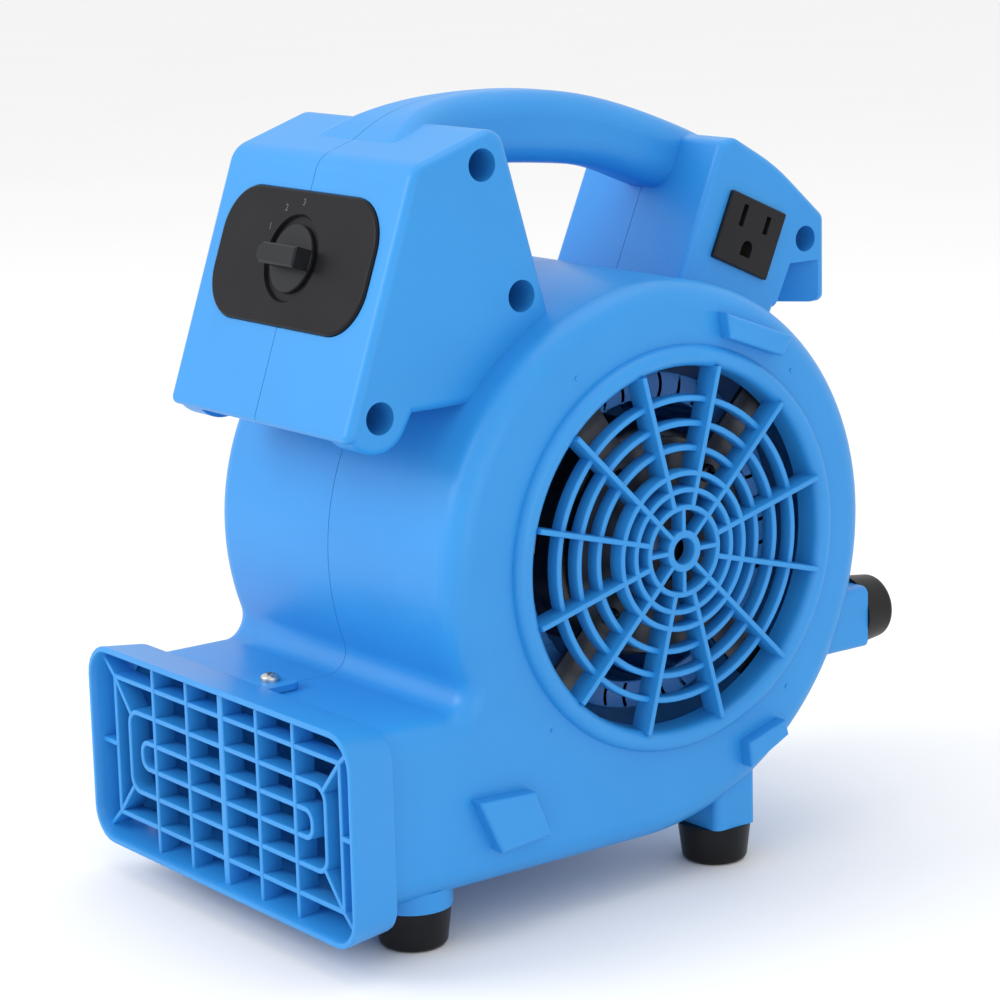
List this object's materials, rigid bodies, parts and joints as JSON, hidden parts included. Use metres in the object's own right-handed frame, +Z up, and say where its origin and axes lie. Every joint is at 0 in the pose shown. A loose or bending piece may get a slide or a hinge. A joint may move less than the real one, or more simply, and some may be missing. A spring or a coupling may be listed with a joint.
{
  "type": "air mover",
  "caption": "Small carpet-drying blower: two-half volute housing with arched handle, side inlet grilles, slotted outlet, speed switch, socket and rubber feet.",
  "frame": {"origin": "on the floor under the middle of the bounding box's footprint", "axes": "+Z up, -Y is the way the air leaves the outlet, X runs along the fan axis with the power socket on the +X side"},
  "size_m": [0.176, 0.269, 0.2932],
  "materials": {
    "blue_shell": "moulded polyethylene, satin sheen",
    "blue_fan": "moulded nylon",
    "charcoal_plate": "moulded, semi-gloss",
    "knob_grey": "moulded, fine texture",
    "socket_black": "moulded, satin",
    "button_black": "moulded",
    "brass_contact": "stamped",
    "switch_nylon": "moulded nylon",
    "zinc_screw": "zinc plated",
    "bracket_steel": "galvanised sheet",
    "motor_aluminium": "cast",
    "core_steel": "laminated electrical steel",
    "copper_winding": "enamelled copper wire",
    "bearing_steel": "ground",
    "black_steel": "black oxide",
    "capacitor_can": "moulded case",
    "lead_black": "PVC insulation",
    "foot_rubber": "moulded"
  },
  "bodies": {
    "blower": {"bearing_inner": "bearing_steel", "bearing_outer": "bearing_steel", "bracket_screws": "zinc_screw", "capacitor": "capacitor_can", "cord_gland": "socket_black", "foot_back_left": "foot_rubber", "foot_back_right": "foot_rubber", "foot_front_left": "foot_rubber", "foot_front_right": "foot_rubber", "foot_rear_left": "foot_rubber", "foot_rear_right": "foot_rubber", "foot_screws": "zinc_screw", "gland_nut": "socket_black", "handle_leads": "lead_black", "housing_left": "blue_shell", "housing_right": "blue_shell", "housing_screws": "zinc_screw", "inlet_grille_left": "blue_shell", "inlet_grille_right": "blue_shell", "motor_bracket": "bracket_steel", "motor_cover_inner": "motor_aluminium", "motor_cover_outer": "motor_aluminium", "motor_screws": "zinc_screw", "motor_spacers": "zinc_screw", "outlet_grille": "blue_shell", "outlet_screws": "zinc_screw", "power_socket": "socket_black", "reset_breaker": "socket_black", "rotary_switch": "switch_nylon", "socket_contacts": "brass_contact", "stator_core": "core_steel", "stator_winding_inner": "copper_winding", "stator_winding_outer": "copper_winding", "switch_nut": "zinc_screw", "switch_plate": "charcoal_plate", "terminal_block": "switch_nylon"},
    "rotor": {"motor_shaft": "bearing_steel", "rotor_core": "core_steel", "impeller": "blue_fan", "impeller_hub": "motor_aluminium", "hub_set_screw": "black_steel", "balance_clip": "bearing_steel"},
    "knob": {"speed_knob": "knob_grey", "switch_shaft": "switch_nylon"},
    "button": {"reset_button": "button_black"}
  },
  "joints": [
    {"name": "fan_spin", "type": "hinge", "parent": "blower", "child": "rotor", "pos_m": [0, 0.019, 0.129], "axis": [1, 0, 0], "continuous": true},
    {"name": "knob_turn", "type": "hinge", "parent": "blower", "child": "knob", "pos_m": [0, -0.0913, 0.23937], "axis": [0, 0.9432, -0.3322], "range_deg": [0, 90]},
    {"name": "reset_press", "type": "slide", "parent": "blower", "child": "button", "axis": [1, 0, 0], "range_m": [0, 0.0015], "stiffness_N_per_m": 400}
  ]
}
